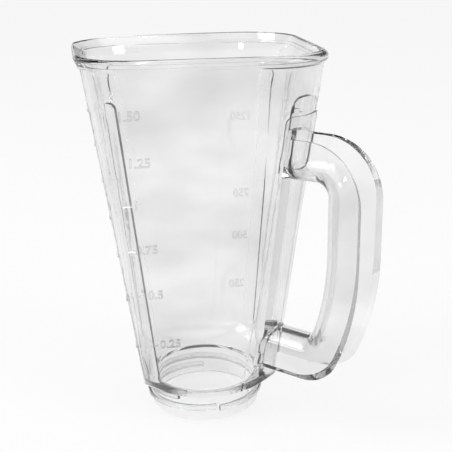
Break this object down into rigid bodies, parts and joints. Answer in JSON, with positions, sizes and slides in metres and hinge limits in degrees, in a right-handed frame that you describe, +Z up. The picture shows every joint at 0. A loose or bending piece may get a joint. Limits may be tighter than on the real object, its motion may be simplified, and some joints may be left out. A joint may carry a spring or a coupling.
{
  "type": "blender jar",
  "caption": "Clear moulded blender jar with a square mouth, a pouring corner, a channel handle and a round screw neck that takes a blade unit.",
  "frame": {"origin": "centre of the neck's bore, on the ring that the jar stands on", "axes": "+Z up through the mouth, +X towards the handle corner, -X towards the pouring corner"},
  "size_m": [0.1971, 0.1596, 0.22],
  "materials": {
    "clear_plastic": "clear, polished"
  },
  "bodies": {
    "root": {"jar": "clear_plastic"}
  },
  "joints": []
}
